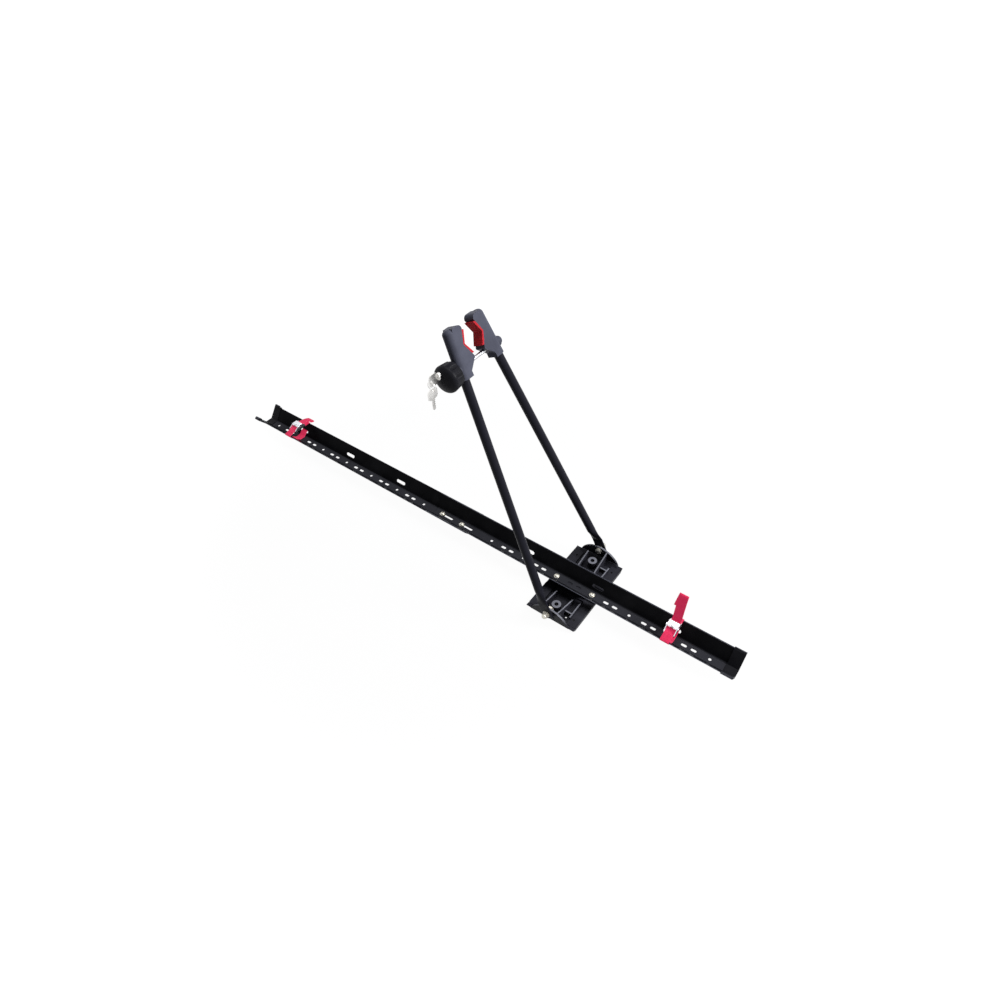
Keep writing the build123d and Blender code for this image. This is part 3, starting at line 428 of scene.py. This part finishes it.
class Strap:
    """A ribbon of webbing, extruded edge by edge through its stations."""

    def __init__(self, name, stations, width, thickness):
        bpy.ops.object.select_all(action="DESELECT")
        bpy.ops.mesh.primitive_plane_add(size=2 * MM)
        self.piece = bpy.context.object
        self.piece.name = name
        self.draw(stations)
        self.lay_weave(stations, width)
        self.modify("SUBSURF", levels=2, render_levels=2, boundary_smooth="PRESERVE_CORNERS")
        self.modify("SOLIDIFY", thickness=thickness, offset=0.0, use_even_offset=True)
        rounding = {"width": thickness * 0.3, "segments": 2}
        self.modify("BEVEL", limit_method="ANGLE", angle_limit=radians(60), **rounding)
        bpy.ops.object.shade_smooth_by_angle(angle=radians(50))

    def draw(self, stations):
        """Lays the plane over the first two stations and pulls its end on through the rest."""
        bpy.ops.object.mode_set(mode="EDIT")
        bpy.ops.mesh.select_mode(type="VERT")
        form = bmesh.from_edit_mesh(self.piece.data)
        corners = sorted(tuple(vertex.co) for vertex in form.verts)
        for corner, end in zip(corners, [*stations[0], *stations[1]]):
            self.shift(corner, end)
        for last, new in zip(stations[1:], stations[2:]):
            self.extrude(last, new)
        bpy.ops.mesh.select_all(action="SELECT")
        bpy.ops.mesh.normals_make_consistent(inside=False)
        bpy.ops.object.mode_set(mode="OBJECT")

    def pick(self, places):
        """Selects the vertex nearest to each of these places, and nothing else."""
        bpy.ops.mesh.select_all(action="DESELECT")
        form = bmesh.from_edit_mesh(self.piece.data)
        for place in places:
            point = Vector(place)
            nearest = min(form.verts, key=lambda vertex: (vertex.co - point).length)
            nearest.select_set(True)
        form.select_flush(True)
        bmesh.update_edit_mesh(self.piece.data)

    def shift(self, start, end):
        """Moves the vertex at one place to another."""
        self.pick([start])
        bpy.ops.transform.translate(value=Vector(end) - Vector(start))

    def extrude(self, last, new):
        """Pulls the end edge on to its next station."""
        step = Vector(new[0]) - Vector(last[0])
        self.pick(last)
        bpy.ops.mesh.extrude_edges_move(TRANSFORM_OT_translate={"value": step})
        moved = Vector(last[1]) + step
        if (moved - Vector(new[1])).length > 1e-7:
            self.shift(tuple(moved), new[1])

    def lay_weave(self, stations, width):
        """UVs in metres: along the strap, and across it from its middle."""
        mesh = self.piece.data
        weave = mesh.uv_layers.active or mesh.uv_layers.new()
        weave.name = "weave"
        middles = [(Vector(left) + Vector(right)) / 2 for left, right in stations]
        runs = [0.0]
        for before, after in zip(middles, middles[1:]):
            runs.append(runs[-1] + (after - before).length)
        marks = []
        for run, (left, right) in zip(runs, stations):
            marks.append((Vector(left), (run, -width / 2)))
            marks.append((Vector(right), (run, width / 2)))
        for loop in mesh.loops:
            point = mesh.vertices[loop.vertex_index].co
            nearest = min(marks, key=lambda mark: (mark[0] - point).length)
            weave.data[loop.index].uv = nearest[1]

    def modify(self, kind, **settings):
        """Applies one modifier."""
        bpy.context.view_layer.objects.active = self.piece
        modifier = self.piece.modifiers.new(kind.lower(), kind)
        for key, value in settings.items():
            setattr(modifier, key, value)
        bpy.ops.object.modifier_apply(modifier=modifier.name)


def eased(route, reach):
    """The route with each inner corner cut into two points near it."""
    share = 0.4
    points = [Vector(route[0])]
    for before, here, after in zip(route, route[1:], route[2:]):
        corner = Vector(here)
        back = Vector(before) - corner
        on = Vector(after) - corner
        points.append(corner + back.normalized() * min(reach, back.length * share))
        points.append(corner + on.normalized() * min(reach, on.length * share))
    points.append(Vector(route[-1]))
    return points


def across_x(route, x, sway):
    """Stations in metres for a strap whose width lies along X, from points (y, z)."""
    stations = []
    for (y, z), away in zip(route, sway):
        ends = (x + away - web_wide / 2, x + away + web_wide / 2)
        stations.append([tuple(round(part * MM, 7) for part in (end, y, z)) for end in ends])
    return stations


def wall_points(shift):
    """From the floor out through the wall's slot and up its outside to its top."""
    side = gauge / 2 + lie

    def at(along, out):
        away = shift + gauge / 2 + out
        y = channel_floor / 2 + along * wall_cos + away * wall_sin
        return (y, floor_top + along * wall_sin - away * wall_cos)

    slot = slot_rise / wall_sin
    return [
        (channel_floor / 2 - floor_bend, floor_top - shift + lie),
        at(slot - slot_half, -side),
        at(slot + slot_half, side),
        at(wall_long + lie, side),
        at(wall_long + lie + gauge / 2, -side / 2),
    ]


def strap_points(shift):
    """From the sewn loop round the buckle's bar, by both walls, to the buckle's cam."""
    line_z = buckle_floor + buckle_sheet + lie
    over_z = bar_z + loop_radius + layer
    sewn_z = bar_z - loop_radius + layer
    far = wall_points(shift)
    near = [(-y, z) for y, z in far]
    start = [
        (bar_y + sewn_end, sewn_z),
        (bar_y + sewn_bend, sewn_z),
        (bar_y + loop_crown, bar_z + loop_radius),
        (bar_y - loop_radius, bar_z + loop_radius),
        (bar_y - loop_radius, bar_z - loop_radius),
    ]
    through = [(buckle_back - lie, line_z), (cam_edge, line_z), (cam_over, over_z)]
    return start + far[::-1] + near + through


def front_strap():
    """The tail stands up from the buckle, and its end folds over. Its points are (y, z)."""
    route = strap_points(0)
    low = route[-1][1]
    top = low + front_tail_rise
    tail = [
        (20.2, low + 26),
        (23.2, low + 54),
        (26.8, top - 1.5),
        (30.5, top),
        (33.6, top - 2.5),
        (33.4, top - 24),
        (32.0, top - 47),
    ]
    bent = eased(route + [(buckle_front, low)], crease) + tail
    last = [-0.4, -1.2, -4.5, -7.5]
    sway = [0.0] * (len(bent) - len(last)) + last
    stations = across_x(bent, front_strap_x, sway)
    return Strap("front_webbing", stations, web_wide * MM, web_thick * MM).piece


def rear_strap():
    """The tail lies over the far wall and turns back under itself. Its points are (y, z)."""
    route = strap_points(gauge + nest_gap)
    low = route[-1][1]
    tail = [
        (27.0, low - 0.8),
        (36.0, low - 2.2),
        (44.0, low - 4.6),
        (48.6, low - 6.6),
        (49.8, low - 8.6),
        (48.2, low - 10.0),
        (44.0, low - 9.6),
        (39.5, low - 7.6),
    ]
    bent = eased(route + [(buckle_front, low)], crease)
    sway = [0.0] * len(bent) + [0.6, 1.8, 3.4, 4.6, 5.0, 4.8, 4.2, 3.4]
    stations = across_x(bent + tail, rear_strap_x, sway)
    return Strap("rear_webbing", stations, web_wide * MM, web_thick * MM).piece


# Rear cap


def cap_lug(name, side, size):
    """The rolled end of the rear cap on top of one wall."""
    lean = -side * (pi / 2 - atan2(channel_depth, wall_run))
    middle = Vector((lug_x, side * lug_y, lug_z)) * MM
    bpy.ops.object.select_all(action="DESELECT")
    bpy.ops.mesh.primitive_cube_add(size=MM, location=middle, rotation=(lean, 0, 0), scale=size)
    lug = bpy.context.object
    lug.name = name
    bpy.ops.object.transform_apply()
    modifier = lug.modifiers.new("bevel", "BEVEL")
    modifier.width = min(size) * 0.3 * MM
    modifier.segments = 3
    bpy.ops.object.modifier_apply(modifier="bevel")
    bpy.ops.object.shade_smooth_by_angle(angle=radians(40))
    return lug


# Studio


def plain_world():
    """White where it is seen directly, and a little soft light on the object."""
    world = bpy.data.worlds.new("studio")
    world.use_nodes = True
    bpy.context.scene.world = world
    nodes = Nodes(world.node_tree)
    nodes.tree.nodes.clear()
    soft = nodes.add("ShaderNodeBackground", {}, {"Color": WHITE, "Strength": 0.07})
    shown = nodes.add("ShaderNodeBackground", {}, {"Color": WHITE, "Strength": 1.0})
    sky = nodes.blend(nodes.seen_directly(), soft, shown)
    out = nodes.tree.nodes.new("ShaderNodeOutputWorld")
    nodes.tree.links.new(sky.socket, out.inputs["Surface"])


def pale_floor():
    """A white floor that takes a soft shadow, which fades away from the object."""
    below, object_x = 0.0002, -0.35
    bpy.ops.object.select_all(action="DESELECT")
    bpy.ops.mesh.primitive_plane_add(size=60.0, location=(0, 0, cad_box[0][2] - below))
    floor = bpy.context.object
    floor.name = "floor"
    bpy.ops.object.transform_apply(location=True)
    finish = Finish("floor_white", Roughness=0.9)
    cloud = finish.noise(1.5, 2.0, 0.5)
    finish.put("Base Color", finish.mix(cloud, (0.22, 0.22, 0.23), (0.24, 0.24, 0.25)))
    east, north, _ = finish.axes(finish.place())
    aside = east - object_x
    away = aside * aside + north * north
    glow = finish.add("ShaderNodeEmission", {}, {"Strength": 1.1})
    share = finish.seen_directly() * (away.between(0.2, 1.2) * 0.12 + 0.88)
    shown = finish.blend(share, Value(finish, finish.shader.outputs[0]), glow)
    finish.tree.links.new(shown.socket, finish.tree.nodes["Material Output"].inputs["Surface"])
    floor.data.materials.append(finish.material)


bpy.context.scene.view_settings.view_transform = "Standard"
set_camera()
plain_world()
pale_floor()
area_lamp("key", place=(1.9, 1.0, 1.9), aim=(-0.2, 0, 0.2), size=(1.2, 1.2), power=88)
area_lamp("top", place=(-0.3, 0.5, 2.9), aim=(-0.3, 0, 0.1), size=(1.6, 1.0), power=34)
area_lamp("left", place=(-1.8, -1.9, 1.5), aim=(-0.2, 0, 0.3), size=(1.2, 1.2), power=1)

looks = finishes()
dress_nodes(looks)
for strap, body, node in (
    (front_strap(), "carrier", "front_strap"),
    (rear_strap(), "rear_slide", "rear_strap"),
):
    strap.data.materials.clear()
    strap.data.materials.append(looks["strap_red"])
    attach(strap, body)
    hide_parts(node)
for lug in (cap_lug("rear_cap_lug", -1, (18, 9, 13)), cap_lug("rear_cap_far_lug", 1, (18, 6, 8))):
    lug.data.materials.append(looks["cap_black"])
    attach(lug, "rear_slide")
